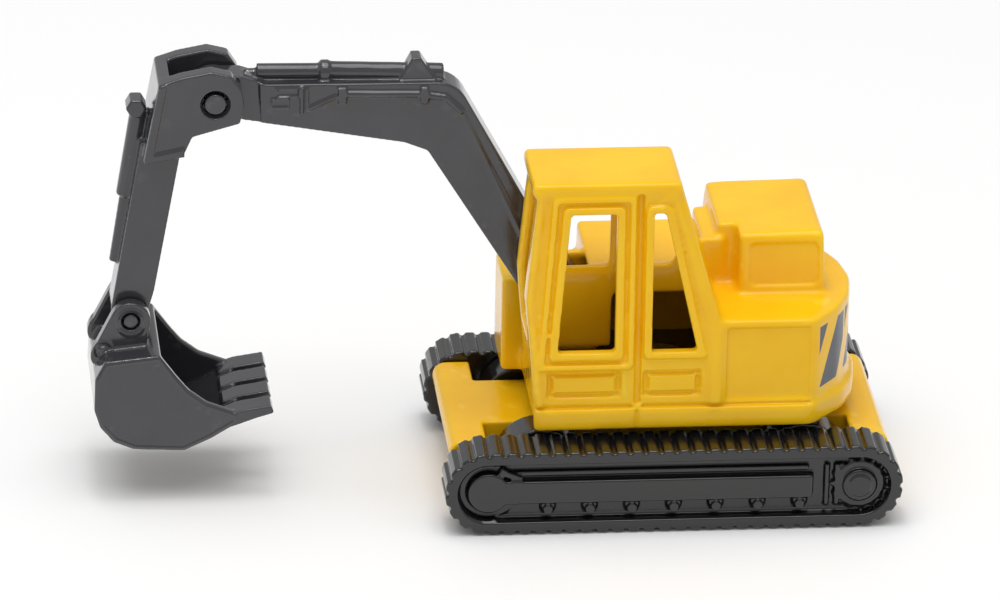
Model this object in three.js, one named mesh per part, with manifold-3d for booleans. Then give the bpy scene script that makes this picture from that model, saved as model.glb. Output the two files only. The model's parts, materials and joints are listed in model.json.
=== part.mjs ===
// Toy excavator, die-cast and plastic, in millimetres, +Z up.
// +X points forward, to the bucket. +Y is the machine's left, the side of the cab.
// Everything is placed about the slew axis at X = Y = 0 with the ground at Z = 0.
// The last lines move the whole toy so that its origin is at the bottom centre of its box.

import * as THREE from "three";
import { mergeVertices } from "three/addons/utils/BufferGeometryUtils.js";
import Module from "manifold-3d";

const wasm = await Module();
wasm.setup();

// ---- clearances ----
const seatGap = 0.3; // between faces that meet
const pinGap = 0.25; // round a pin, axle or rivet
const cut = 1; // how far a cutting solid runs past the face it opens
const bite = 0.2; // how far a raised detail is sunk into the face that carries it

// ---- tracks ----
const trackLength = 54.6;
const trackHeight = 10.4;
const trackWidth = 6;
const trackInnerHalf = 12; // from the middle of the toy to a track's inner face
const trackLift = 0.2; // the wheels carry the toy, so the tracks just clear the ground
const lugHeight = 0.4;
const lugPitchAim = 1.85;
const trackRim = 1.1; // belt left round the side recess
const recessDepth = 1.5;
const idlerRadius = 2.5;
const sprocketRadius = 3;
const hubRadius = 2;
const sideBeamHeight = 2.9;
const sideBeamFront = 18.2; // from the slew axis
const sideBeamRear = 16.5;
const rollerRadius = 0.9;
const rollerCount = 7;
const rollerPitch = 5;

// ---- wheels and axles ----
const wheelRadius = 5.4;
const wheelWidth = 4.6;
const frontAxleX = 15.3; // from the slew axis
const axleRadius = 0.75;
const hubRecess = 0.8;

// ---- chassis frame ----
const frameTop = 9.5;
const frameHalfWidth = 6.1;
const frameWall = 1.2;
const beamDepth = 3.2;
const beamWidth = 4.5;
const frontWheelGap = 1.1; // between a wheel and the cross beam next to it
const rearWheelGap = 0.4;
const turretRadius = 6;
const basePlateThickness = 1.3;
const trackPegLength = 2;
const trackPegInset = 0.8; // from the inner side of a cross beam
const trackPegSize = 1.6;
const baseRivetInset = 2.2; // from the inner side of a cross beam
const baseRivetRadius = 0.7;
const baseRivetHead = 1.4;
const baseRivetHeadHeight = 0.5; // sunk flush with the base plate

// ---- house, its heights counted from its lower edge ----
const houseClearance = 0.6; // between the wheels' tops and the house
const houseWall = 1.2;
const houseHalfWidth = 13.2;
const skirtTop = 2.8;
const skirtProud = 0.4;
const houseRear = 22.6; // behind the slew axis, at the deck
const rearLean = 0.8; // the rear face stands this much further out at its foot
const cornerX = 16.8; // where the rear corner starts on the side
const cornerY = 7; // where it ends on the rear
const leftDeckTop = 13.6;
const rightDeckTop = 15.8;
const rightDeckFront = 9;
const boxTop = 12.1;
const boxFront = 18.7;
const ribTop = 19.3;
const ribFront = -4.4;
const hoodTop = 21.2;
const hoodFront = -6.1;
const hoodStep = -8.6; // behind this the hood is wider
const hoodRear = -19;
const hoodNarrowLeft = 1.6;
const hoodLeft = 5.3;
const hoodDraft = 0.9;

// ---- cab ----
const cabRoof = 31.2;
const cabRoofFront = 16.4;
const cabRoofRear = -0.4;
const cabBelly = 17.7; // how far forward the windscreen bulges
const cabBellyHeight = 16.6;
const cabFootFront = 16.2;
const cabRear = -5.8;
const cabPillarFoot = 12.9;
const roofSideInset = 1;
const cabWall = 1.1;
const windowTop = 27.8;
const sillLeft = 9.6;
const sillAboveDeck = 0.3; // the right windows start this much above the right deck
const frontWindowFront = 14.4;
const frontWindowRear = 6.6;
const frontWindowLean = 1.5; // how much further back its front edge is at the top
const rearWindowFront = 3.1;
const rearWindowRear = -3.1;
const windowSlope = 4.2; // how much further forward the rear window ends at its top
const screenMargin = 2.2;

// ---- floor plate ----
const floorThickness = 1.5;
const cabFloorTop = 5.6;
const floorWall = 1.2;

// ---- slew rivet and washer ----
const slewShank = 1.6;
const slewHead = 3.2;
const slewHeadHeight = 0.8;
const washerRadius = 3.8;
const washerThickness = 0.5;
const floorRivetX = -14;
const floorRivetShank = 0.9;
const floorRivetHead = 1.8;
const floorRivetLength = 4;
const postRadius = 2.2;

// ---- arm ----
const armY = -1.75; // middle plane of the arm
const armThickness = 4.4;
const boomPinX = 10; // from the slew axis
const boomPinZ = 8.1; // above the house's lower edge
const boomFootRadius = 3.2;
const boomPinRadius = 1;
const boomReach = 43.7; // from the boom pin to the stick pin
const boomRise = 30.1;
const stickPinRadius = 1.25;
const boomTipRadius = 2.6;
const stickEarThickness = 2.2;
const stickHeadPlate = 1.6;
const stickHeadFront = 6.7; // from the stick pin
const stickReach = 9.9; // from the stick pin to the bucket pin
const stickDrop = 27.6;
const bucketPinRadius = 0.85;
const stickEndRadius = 2.2;
const stickBarTop = 4.9; // depth of the stick at its head
const stickBarEnd = 4.4; // and at its end
const cylinderRadius = 1.1;
const cylinderRodRadius = 0.7;

// ---- bucket ----
const bucketWidth = 16;
const bucketWall = 1.1;
const bucketEarThickness = 1.8;
const bucketEarRadius = 2.4;
const toothCount = 4;
const toothWidth = 2.6;
const toothLength = 4;
const toothThickness = 1;

// ---- materials ----
const enamel = new THREE.MeshStandardMaterial({ color: 0xf5b50f, roughness: 0.3, metalness: 0 });
const blackPlastic = new THREE.MeshStandardMaterial({ color: 0x2b2b2e, roughness: 0.35, metalness: 0 });
const steel = new THREE.MeshStandardMaterial({ color: 0xb4b7ba, roughness: 0.35, metalness: 1 });

// ---- solids ----
function toSolid(geometry) {
  geometry.deleteAttribute("normal");
  geometry.deleteAttribute("uv");
  const merged = mergeVertices(geometry, 1e-4);
  const triVerts = new Uint32Array(merged.index.array);
  const vertProperties = merged.attributes.position.array;
  return new wasm.Manifold(new wasm.Mesh({ numProp: 3, vertProperties, triVerts }));
}

function toGeometry(solid) {
  const mesh = solid.getMesh();
  const geometry = new THREE.BufferGeometry();
  geometry.setAttribute("position", new THREE.BufferAttribute(mesh.vertProperties, 3));
  geometry.setIndex(new THREE.BufferAttribute(mesh.triVerts, 1));
  const flat = geometry.toNonIndexed();
  flat.computeVertexNormals();
  return flat;
}

function extrude(points, depth) {
  const shape = new THREE.Shape(points.map(([a, b]) => new THREE.Vector2(a, b)));
  return new THREE.ExtrudeGeometry(shape, { depth, bevelEnabled: false });
}

// A side outline in X and Z, made solid from y0 to y1.
function acrossY(points, y0, y1) {
  return toSolid(extrude(points, y1 - y0).rotateX(Math.PI / 2).translate(0, y1, 0));
}

// A plan outline in X and Y, made solid from z0 to z1.
function upZ(points, z0, z1) {
  return toSolid(extrude(points, z1 - z0).translate(0, 0, z0));
}

// A front outline in Y and Z, made solid from x0 to x1.
function alongX(points, x0, x1) {
  const turn = new THREE.Matrix4().makeBasis(
    new THREE.Vector3(0, 1, 0),
    new THREE.Vector3(0, 0, 1),
    new THREE.Vector3(1, 0, 0),
  );
  return toSolid(extrude(points, x1 - x0).applyMatrix4(turn).translate(x0, 0, 0));
}

function block(x0, x1, y0, y1, z0, z1) {
  const geometry = new THREE.BoxGeometry(x1 - x0, y1 - y0, z1 - z0);
  return toSolid(geometry.translate((x0 + x1) / 2, (y0 + y1) / 2, (z0 + z1) / 2));
}

// A round bar along Y.
function barY(radius, x, z, y0, y1, sides = 24) {
  const geometry = new THREE.CylinderGeometry(radius, radius, y1 - y0, sides);
  return toSolid(geometry.translate(x, (y0 + y1) / 2, z));
}

// A round bar along Z.
function barZ(radius, x, y, z0, z1, sides = 24) {
  const geometry = new THREE.CylinderGeometry(radius, radius, z1 - z0, sides);
  return toSolid(geometry.rotateX(Math.PI / 2).translate(x, y, (z0 + z1) / 2));
}

// A round bar between two points of the plane Y = y.
function barBetween(radius, from, to, y, sides = 12) {
  const run = new THREE.Vector2(to[0] - from[0], to[1] - from[1]);
  const geometry = new THREE.CylinderGeometry(radius, radius, run.length(), sides);
  geometry.rotateY(Math.PI / sides);
  geometry.rotateZ(0).rotateX(Math.PI / 2);
  geometry.rotateY(Math.atan2(run.x, run.y));
  return toSolid(geometry.translate((from[0] + to[0]) / 2, y, (from[1] + to[1]) / 2));
}

// Points of an arc about a centre, angles in degrees.
function arc(cx, cy, radius, from, to, steps) {
  const points = [];
  for (let i = 0; i <= steps; i++) {
    const angle = THREE.MathUtils.degToRad(from + ((to - from) * i) / steps);
    points.push([cx + radius * Math.cos(angle), cy + radius * Math.sin(angle)]);
  }
  return points;
}

function addPiece(group, name, solid, material) {
  const mesh = new THREE.Mesh(toGeometry(solid), material);
  mesh.name = name;
  group.add(mesh);
}

// ---- places that the undercarriage's pieces share, from the slew axis ----
const beamInner = frontAxleX + wheelRadius + frontWheelGap;
const beamOuter = beamInner + beamWidth;
const rearAxleX = wheelRadius + rearWheelGap - beamInner;
const baseRivetAt = beamInner - baseRivetInset;
const basePlateTop = wheelRadius - axleRadius - pinGap; // the plate closes the axle slots from below
const houseBottom = 2 * wheelRadius + houseClearance;

// ---- tracks ----
const trackMiddle = trackLift + trackHeight / 2;
const beltRadius = trackHeight / 2 - lugHeight;
const beltHalf = trackLength / 2 - trackHeight / 2; // half the straight run

// A point of the belt at a distance s along it, pushed out by a height h.
function beltPoint(s, h) {
  const straight = 2 * beltHalf;
  const half = Math.PI * beltRadius;
  const radius = beltRadius + h;
  if (s < straight) return [beltHalf - s, trackMiddle + radius];
  if (s < straight + half) {
    const angle = Math.PI / 2 + (s - straight) / beltRadius;
    return [-beltHalf + radius * Math.cos(angle), trackMiddle + radius * Math.sin(angle)];
  }
  if (s < 2 * straight + half) return [s - straight - half - beltHalf, trackMiddle - radius];
  const angle = -Math.PI / 2 + (s - 2 * straight - half) / beltRadius;
  return [beltHalf + radius * Math.cos(angle), trackMiddle + radius * Math.sin(angle)];
}

function beltOutline() {
  const round = 4 * beltHalf + 2 * Math.PI * beltRadius;
  const lugCount = 2 * Math.round(round / lugPitchAim / 2);
  const pitch = round / lugCount;
  const points = [];
  for (let i = 0; i < lugCount; i++) {
    const start = i * pitch;
    points.push(beltPoint(start + 0.1 * pitch, 0));
    points.push(beltPoint(start + 0.22 * pitch, lugHeight));
    points.push(beltPoint(start + 0.78 * pitch, lugHeight));
    points.push(beltPoint(start + 0.9 * pitch, 0));
  }
  return points;
}

function slotOutline(half, radius) {
  const rear = arc(-half, trackMiddle, radius, 90, 270, 14);
  const front = arc(half, trackMiddle, radius, -90, 90, 14);
  return [...rear, ...front];
}

// side is 1 for the left track and -1 for the right one.
function makeTrack(side) {
  const inner = side * trackInnerHalf;
  const outer = side * (trackInnerHalf + trackWidth);
  const recessFloor = outer - side * recessDepth;
  const between = (a, b) => [Math.min(a, b), Math.max(a, b)];
  const raised = between(recessFloor - side * bite, outer - side * bite);
  let track = acrossY(beltOutline(), ...between(inner, outer));
  const recess = slotOutline(beltHalf, beltRadius - trackRim);
  track = track.subtract(acrossY(recess, ...between(recessFloor, outer + side * cut)));
  track = track.add(barY(idlerRadius, beltHalf, trackMiddle, ...raised));
  track = track.add(barY(sprocketRadius, -beltHalf, trackMiddle, ...between(recessFloor - side * bite,
    recessFloor + side * recessDepth / 2)));
  track = track.add(barY(hubRadius, -beltHalf, trackMiddle, ...raised));
  const beamBottom = trackMiddle - sideBeamHeight / 2;
  track = track.add(block(-sideBeamRear, sideBeamFront, ...raised, beamBottom, beamBottom + sideBeamHeight));
  const rollerZ = beamBottom - rollerRadius / 2;
  for (let i = 0; i < rollerCount; i++) {
    const x = (i - (rollerCount - 1) / 2) * rollerPitch;
    track = track.add(barY(rollerRadius, x, rollerZ, ...between(recessFloor - side * bite,
      recessFloor + side * recessDepth / 2), 12));
  }
  for (const end of [-1, 1]) track = track.subtract(trackPeg(side, end, seatGap));
  return track;
}

// The peg at an end of a cross beam, or with a growth its socket in the track.
function trackPeg(side, end, growth) {
  const x0 = end * (beamInner + trackPegInset);
  const x1 = end * (beamInner + trackPegInset + trackPegSize);
  const y0 = side * (trackInnerHalf - seatGap - cut);
  const y1 = side * (trackInnerHalf + trackPegLength + growth);
  const middle = frameTop - beamDepth / 2;
  return block(
    Math.min(x0, x1) - growth, Math.max(x0, x1) + growth,
    Math.min(y0, y1), Math.max(y0, y1),
    middle - trackPegSize / 2 - growth, middle + trackPegSize / 2 + growth,
  );
}

// ---- chassis frame ----
const beamEnd = trackInnerHalf - seatGap;


function makeChassisFrame() {
  const beamBottom = frameTop - beamDepth;
  const beamRadius = beamDepth / 2;
  let frame = block(-beamInner, beamInner, -frameHalfWidth, frameHalfWidth, basePlateTop + seatGap, frameTop);
  frame = frame.subtract(block(-beamInner, beamInner, -frameHalfWidth + frameWall,
    frameHalfWidth - frameWall, 0, frameTop - frameWall));
  for (const end of [-1, 1]) {
    const beam = [
      [end * beamInner, beamBottom],
      [end * beamInner, frameTop],
      ...arc(end * (beamOuter - beamRadius), beamBottom + beamRadius, beamRadius, 90, 90 - end * 180, 10),
    ];
    frame = frame.add(acrossY(beam, -beamEnd, beamEnd));
    for (const side of [-1, 1]) frame = frame.add(trackPeg(side, end, 0));
    frame = frame.add(block(Math.min(end * baseRivetAt, end * beamInner) - baseRivetHead,
      Math.max(end * baseRivetAt, end * beamInner), -frameHalfWidth, frameHalfWidth,
      basePlateTop + seatGap, frameTop));
    frame = frame.subtract(barZ(baseRivetRadius + pinGap, end * baseRivetAt, 0, 0, frameTop - frameWall));
  }
  frame = frame.add(barZ(turretRadius, 0, 0, frameTop - frameWall, houseBottom, 36));
  frame = frame.subtract(barZ(slewShank + pinGap, 0, 0, 0, houseBottom + cut));
  for (const x of [frontAxleX, rearAxleX]) {
    const slot = axleRadius + pinGap;
    frame = frame.subtract(barY(slot, x, wheelRadius, -frameHalfWidth - cut, frameHalfWidth + cut));
    frame = frame.subtract(block(x - slot, x + slot, -frameHalfWidth - cut, frameHalfWidth + cut, 0, wheelRadius));
  }
  return frame;
}

function makeBasePlate() {
  const bottom = basePlateTop - basePlateThickness;
  let plate = block(-beamInner, beamInner, -frameHalfWidth, frameHalfWidth, bottom, basePlateTop);
  for (const end of [-1, 1]) {
    plate = plate.subtract(barZ(baseRivetRadius + pinGap, end * baseRivetAt, 0, 0, basePlateTop + cut));
    plate = plate.subtract(barZ(baseRivetHead + pinGap, end * baseRivetAt, 0, 0,
      bottom + baseRivetHeadHeight + seatGap));
  }
  return plate;
}

function makeBaseRivet(end) {
  const bottom = basePlateTop - basePlateThickness + seatGap / 6;
  const headTop = bottom + baseRivetHeadHeight;
  const head = barZ(baseRivetHead, end * baseRivetAt, 0, bottom, headTop, 16);
  return head.add(barZ(baseRivetRadius, end * baseRivetAt, 0, headTop - bite, frameTop - frameWall - seatGap, 24));
}

// ---- wheels ----
const wheelInner = trackInnerHalf - seatGap - wheelWidth;

function makeWheel(x, side) {
  const wheelOuter = wheelInner + wheelWidth;
  const y = [side * wheelInner, side * wheelOuter].sort((a, b) => a - b);
  let wheel = barY(wheelRadius, x, wheelRadius, ...y, 36);
  const recess = [side * (wheelOuter - hubRecess), side * (wheelOuter + cut)].sort((a, b) => a - b);
  const dish = barY(wheelRadius - 2 * hubRecess, x, wheelRadius, ...recess, 24);
  wheel = wheel.subtract(dish.subtract(barY(2 * axleRadius + pinGap, x, wheelRadius, ...recess, 24)));
  return wheel.subtract(barY(axleRadius + pinGap, x, wheelRadius, y[0] - cut, y[1] + cut));
}

function makeAxle(x) {
  const half = wheelInner + wheelWidth - seatGap;
  return barY(axleRadius, x, wheelRadius, -half, half);
}

// ---- house ----
const cabRight = armY + armThickness / 2 + seatGap; // the cab's right wall is the left wall of the boom slot
const slotRight = armY - armThickness / 2 - seatGap;

// The plan of the body, moved in or out by a distance.
function bodyPlan(out, rear) {
  const half = houseHalfWidth + out;
  const back = -(rear + out);
  return [
    [rightDeckFront, half],
    [-cornerX, half],
    [back + (houseRear - cornerX) / 6, cornerY + out / 2],
    [back, 0],
    [back + (houseRear - cornerX) / 6, -cornerY - out / 2],
    [-cornerX, -half],
    [rightDeckFront, -half],
  ];
}

// Side outline of the cab, moved in by a wall.
function cabSide(wall) {
  return [
    [cabFootFront - wall, 0],
    [cabBelly - wall, cabBellyHeight],
    [cabRoofFront - wall, cabRoof - wall],
    [cabRoofRear + wall, cabRoof - wall],
    [cabRear + wall, cabPillarFoot],
    [cabRear + wall, 0],
  ];
}

function makeCab() {
  const front = [
    [cabRight, 0],
    [houseHalfWidth, 0],
    [houseHalfWidth, sillLeft],
    [houseHalfWidth - roofSideInset, cabRoof],
    [cabRight, cabRoof],
  ];
  return acrossY(cabSide(0), cabRight, houseHalfWidth).intersect(alongX(front, cabRear - cut, cabBelly + cut));
}

function makeCabHollow() {
  const front = [
    [cabRight + cabWall, -cut],
    [houseHalfWidth - cabWall, -cut],
    [houseHalfWidth - cabWall, sillLeft],
    [houseHalfWidth - roofSideInset - cabWall, cabRoof],
    [cabRight + cabWall, cabRoof],
  ];
  const side = cabSide(cabWall);
  side[0] = [cabFootFront - cabWall, -cut];
  side[side.length - 1] = [cabRear + cabWall, -cut];
  return acrossY(side, cabRight, houseHalfWidth).intersect(alongX(front, cabRear - cut, cabBelly + cut));
}

function makeHood() {
  const hoodMiddle = (leftDeckTop + hoodTop) / 2;
  const side = [
    [hoodFront, houseWall],
    [hoodFront, hoodMiddle],
    [hoodFront - hoodDraft / 3, hoodTop - hoodDraft / 3],
    [hoodRear + hoodDraft / 3, hoodTop],
    [hoodRear, leftDeckTop - houseWall],
    [hoodRear, houseWall],
  ];
  const front = (left, x0) => {
    const outline = [
      [-houseHalfWidth, houseWall],
      [left, houseWall],
      [left, leftDeckTop],
      [left - hoodDraft, hoodTop],
      [-houseHalfWidth + hoodDraft, hoodTop],
      [-houseHalfWidth, leftDeckTop],
    ];
    return alongX(outline, hoodRear - cut, x0);
  };
  const narrow = front(hoodNarrowLeft, hoodFront + cut);
  const wide = front(hoodLeft, hoodStep);
  return acrossY(side, -houseHalfWidth - cut, houseHalfWidth).intersect(narrow.add(wide));
}

function makeHoodHollow() {
  const side = [
    [hoodFront - houseWall, 0],
    [hoodFront - houseWall, hoodTop - houseWall],
    [hoodRear + houseWall, hoodTop - houseWall],
    [hoodRear + houseWall, 0],
  ];
  const narrow = block(hoodRear, hoodFront, -houseHalfWidth + hoodDraft + houseWall,
    hoodNarrowLeft - hoodDraft - houseWall, 0, hoodTop);
  const wide = block(hoodRear, hoodStep - houseWall, -houseHalfWidth + hoodDraft + houseWall,
    hoodLeft - hoodDraft - houseWall, 0, hoodTop);
  return acrossY(side, -houseHalfWidth, houseHalfWidth).intersect(narrow.add(wide));
}

// Windows of a cab side wall, from the plane y0 to y1, above a sill.
function makeSideWindows(sill, y0, y1) {
  const front = [
    [frontWindowRear, sill],
    [frontWindowFront, sill],
    [frontWindowFront - frontWindowLean, windowTop],
    [frontWindowRear, windowTop],
  ];
  const rise = (windowTop - sill) / (windowTop - sillLeft);
  const rear = [
    [rearWindowFront, sill],
    [rearWindowFront, windowTop],
    [rearWindowRear + windowSlope, windowTop],
    [rearWindowRear + windowSlope * (1 - rise), sill + 1.5],
    [rearWindowRear + windowSlope * (1 - rise) + 0.8, sill],
  ];
  return acrossY(front, y0, y1).add(acrossY(rear, y0, y1));
}

function makeHouseShell() {
  const half = houseHalfWidth;
  const inner = half - houseWall;
  // outer solids
  let shell = upZ(bodyPlan(0, houseRear), bite, leftDeckTop);
  const skirt = upZ(bodyPlan(skirtProud, houseRear + rearLean), 0, skirtTop);
  shell = shell.add(skirt);
  shell = shell.add(block(hoodFront - cut, rightDeckFront, -half, cabRight + cabWall / 2, 0, rightDeckTop));
  shell = shell.add(block(hoodFront - cut, ribFront, -half + houseRear / 5, hoodNarrowLeft, 0, ribTop));
  shell = shell.add(block(rightDeckFront - cut, boxFront, -half, slotRight, 0, boxTop));
  shell = shell.add(barY(rightDeckTop - boomPinZ - seatGap, boomPinX, boomPinZ, slotRight - houseWall, slotRight, 32));
  shell = shell.add(makeHood());
  shell = shell.add(makeCab());
  shell = shell.add(block(rightDeckFront - cut, cabFootFront, slotRight - cut, cabRight + cut, 0, skirtTop));
  // hollow inside
  const innerPlan = bodyPlan(-houseWall, houseRear - houseWall / 3);
  innerPlan[0] = [rightDeckFront - houseWall, inner];
  innerPlan[innerPlan.length - 1] = [rightDeckFront - houseWall, -inner];
  shell = shell.subtract(upZ(innerPlan, -cut, leftDeckTop - houseWall));
  shell = shell.subtract(block(hoodFront, rightDeckFront - houseWall, -inner, cabRight,
    -cut, rightDeckTop - houseWall));
  shell = shell.subtract(block(rightDeckFront - houseWall - cut, boxFront - houseWall, -inner,
    slotRight - houseWall, -cut, boxTop - houseWall));
  shell = shell.subtract(makeHoodHollow());
  shell = shell.subtract(makeCabHollow());
  // boom slot, open at the front and above, and under the deck for the boom's round foot
  const slotRear = boomPinX - boomFootRadius - 2 * seatGap;
  const slotFront = cabFootFront - houseWall;
  shell = shell.subtract(block(slotRear, slotFront, slotRight, cabRight, -cut, rightDeckTop - houseWall));
  shell = shell.subtract(block(rightDeckFront, boxFront + cut, slotRight, cabRight, skirtTop, rightDeckTop + cut));
  // windows
  shell = shell.subtract(makeSideWindows(sillLeft, houseHalfWidth - roofSideInset - 2 * cabWall, half + cut));
  shell = shell.subtract(makeSideWindows(rightDeckTop + sillAboveDeck, cabRight - cut, cabRight + cabWall + cut));
  const screenLeft = half - roofSideInset - screenMargin;
  const screenRight = cabRight + screenMargin;
  shell = shell.subtract(block(frontWindowFront, cabBelly + cut, screenRight, screenLeft, sillLeft + 1, windowTop));
  shell = shell.subtract(block(cabRear - cut, rearWindowRear + windowSlope, screenRight, screenLeft,
    rightDeckTop, windowTop - cabWall));
  // the inner walls end above the floor plate
  const plateSeat = bodyPlan(-houseWall, houseRear - houseWall / 3);
  plateSeat[0] = [cabFootFront - cabWall, inner];
  plateSeat[plateSeat.length - 1] = [cabFootFront - cabWall, -inner];
  shell = shell.subtract(upZ(plateSeat, -cut, seatGap + floorThickness + seatGap));
  // post for the floor rivet
  const postBottom = seatGap + floorThickness + seatGap;
  shell = shell.add(barZ(postRadius, floorRivetX, 0, postBottom, hoodTop - houseWall / 2, 24));
  shell = shell.subtract(barZ(floorRivetShank + pinGap, floorRivetX, 0, postBottom - cut,
    postBottom + floorRivetLength + seatGap, 16));
  // bore of the boom pin
  const pinBore = boomPinRadius + pinGap;
  shell = shell.subtract(barY(pinBore, boomPinX, boomPinZ, slotRight - houseWall - cut, cabRight + cabWall + cut));
  return shell;
}

// ---- floor plate ----
const floorBottom = seatGap;
const floorTop = floorBottom + floorThickness;

function makeFloorPlate() {
  const clear = houseWall + seatGap;
  const plan = bodyPlan(-clear, houseRear - clear / 3);
  plan[0] = [cabFootFront - cabWall - seatGap, houseHalfWidth - clear];
  plan[plan.length - 1] = [cabFootFront - cabWall - seatGap, -houseHalfWidth + clear];
  let plate = upZ(plan, floorBottom, floorTop);
  const cabLeft = houseHalfWidth - cabWall - seatGap;
  const cabFloorRight = cabRight + cabWall + seatGap;
  const cabFloorFront = cabFootFront - cabWall - seatGap;
  const cabFloorRear = cabRear + cabWall + seatGap;
  plate = plate.add(block(cabFloorRear, cabFloorFront, cabFloorRight, cabLeft, floorBottom, cabFloorTop));
  plate = plate.subtract(block(cabFloorRear + floorWall, cabFloorFront - floorWall, cabFloorRight + floorWall,
    cabLeft - floorWall, floorTop, cabFloorTop - floorWall));
  plate = plate.subtract(block(cabFloorRear + 2 * floorWall, cabFloorFront - 2 * floorWall,
    cabFloorRight + 2 * floorWall, cabLeft - 2 * floorWall, floorBottom - cut, floorTop + cut / 2));
  plate = plate.subtract(barZ(slewShank + pinGap, 0, 0, floorBottom - cut, floorTop + cut));
  plate = plate.subtract(barZ(washerRadius + seatGap, 0, 0, floorTop, floorTop + 2 * cut));
  const counterbore = floorBottom + floorThickness / 2;
  plate = plate.subtract(barZ(floorRivetShank + pinGap, floorRivetX, 0, floorBottom - cut, floorTop + cut, 16));
  plate = plate.subtract(barZ(floorRivetHead + pinGap, floorRivetX, 0, floorBottom - cut, counterbore, 20));
  return plate;
}

function makeFloorRivet() {
  const headTop = floorBottom + floorThickness / 2 - seatGap;
  const head = barZ(floorRivetHead, floorRivetX, 0, floorBottom - seatGap / 3, headTop, 20);
  return head.add(barZ(floorRivetShank, floorRivetX, 0, headTop - bite, floorTop + floorRivetLength, 16));
}

function makeSlewRivet() {
  const headTop = frameTop - frameWall - seatGap;
  const washerTop = houseBottom + floorTop + seatGap + washerThickness;
  const topHead = washerTop + seatGap;
  let rivet = barZ(slewHead, 0, 0, headTop - slewHeadHeight, headTop);
  rivet = rivet.add(barZ(slewShank, 0, 0, headTop - bite, topHead + bite));
  return rivet.add(barZ(slewHead, 0, 0, topHead, topHead + slewHeadHeight));
}

function makeSlewWasher() {
  const bottom = houseBottom + floorTop + seatGap;
  const disc = barZ(washerRadius, 0, 0, bottom, bottom + washerThickness);
  return disc.subtract(barZ(slewShank + pinGap, 0, 0, bottom - cut, bottom + washerThickness + cut));
}

// ---- arm ----
const armLow = armY - armThickness / 2;
const armHigh = armY + armThickness / 2;

function makeBoom() {
  const outline = [
    ...arc(0, 0, boomFootRadius, -32, -212, 14),
    [6.4, 15.7],
    ...arc(17.4, 27.5, 3.9, 150, 92, 5),
    [boomReach - 6.1, boomRise + 1.4],
    [boomReach - 3.1, boomRise + 2.4],
    ...arc(boomReach, boomRise, boomTipRadius, 110, -100, 10),
    [boomReach - 3.5, boomRise - 3.1],
    [21.2, 23.8],
    [18.4, 22.7],
    [7.7, 5.7],
  ];
  let boom = acrossY(outline, armLow, armHigh);
  // cylinder, rod, collar and bracket moulded along the top
  boom = boom.add(barBetween(cylinderRadius, [16.5, 31.9], [30.3, 32.4], armY));
  boom = boom.add(barBetween(cylinderRodRadius, [29.5, 32.1], [boomReach - 3.7, boomRise + 2], armY));
  boom = boom.add(barBetween(cylinderRadius + 0.3, [30, 32.2], [31.2, 32.2], armY));
  boom = boom.add(acrossY([[17.8, 31], [21.4, 31], [20, 33.9], [19.4, 33.9]], armY - 1, armY + 1));
  boom = boom.subtract(barY(boomPinRadius + pinGap, 0, 0, armLow - cut, armHigh + cut));
  return boom.subtract(barY(stickPinRadius + pinGap, boomReach, boomRise, armLow - cut, armHigh + cut));
}

function makeBoomPin() {
  const end = houseWall + seatGap;
  return barY(boomPinRadius, boomPinX, boomPinZ, slotRight - end, cabRight + end);
}

const forkLow = armLow - seatGap; // inner faces of the stick's ears
const forkHigh = armHigh + seatGap;

function makeStick() {
  const head = [
    [stickHeadFront, 2.5],
    [4.1, 3.4],
    [0.5, 4.1],
    [-1.9, 3.5],
    [-3.1, 1.7],
    [-3.4, -0.3],
    [-2.9, -2.5],
    [2.7, -4.1],
    [3.7, -6.4],
    [8.5, -7.2],
  ];
  let stick = acrossY(head, forkLow - stickEarThickness, forkHigh + stickEarThickness);
  // the fork is open behind the front plate
  const forkFront = [
    [stickHeadFront - stickHeadPlate, 6.4],
    [-5.7, 6.4],
    [-5.7, -6],
    [stickHeadFront + 0.5 - stickHeadPlate, -6],
  ];
  const fork = acrossY(forkFront, forkLow, forkHigh);
  stick = stick.subtract(fork);
  const barFront = stickHeadFront + 1.9;
  const bar = [
    [barFront, -5.6],
    [stickReach + stickEndRadius, 1 - stickDrop],
    ...arc(stickReach, -stickDrop, stickEndRadius, 10, -190, 12),
    [stickReach - stickBarEnd / 2 - 0.7, 3 - stickDrop],
    [barFront - stickBarTop, -5.6],
  ];
  stick = stick.add(acrossY(bar, forkLow, forkHigh));
  // bucket cylinder moulded along the front
  stick = stick.add(barBetween(cylinderRadius, [8.7, -2.1], [10.4, -13.1], armY));
  stick = stick.add(barBetween(cylinderRodRadius, [10.2, -12.1], [stickReach + 1.7, 6 - stickDrop], armY));
  stick = stick.subtract(barY(bucketPinRadius + pinGap, stickReach, -stickDrop, forkLow - cut, forkHigh + cut));
  const far = stickEarThickness + cut;
  return stick.subtract(barY(stickPinRadius + pinGap, 0, 0, forkLow - far, forkHigh + far));
}

function makeStickPin() {
  return barY(stickPinRadius, 0, 0, forkLow - stickEarThickness, forkHigh + stickEarThickness);
}

// ---- bucket ----
const earLow = forkLow - seatGap; // inner faces of the bucket's ears
const earHigh = forkHigh + seatGap;
const bucketLow = armY - bucketWidth / 2;
const bucketHigh = armY + bucketWidth / 2;

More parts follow.
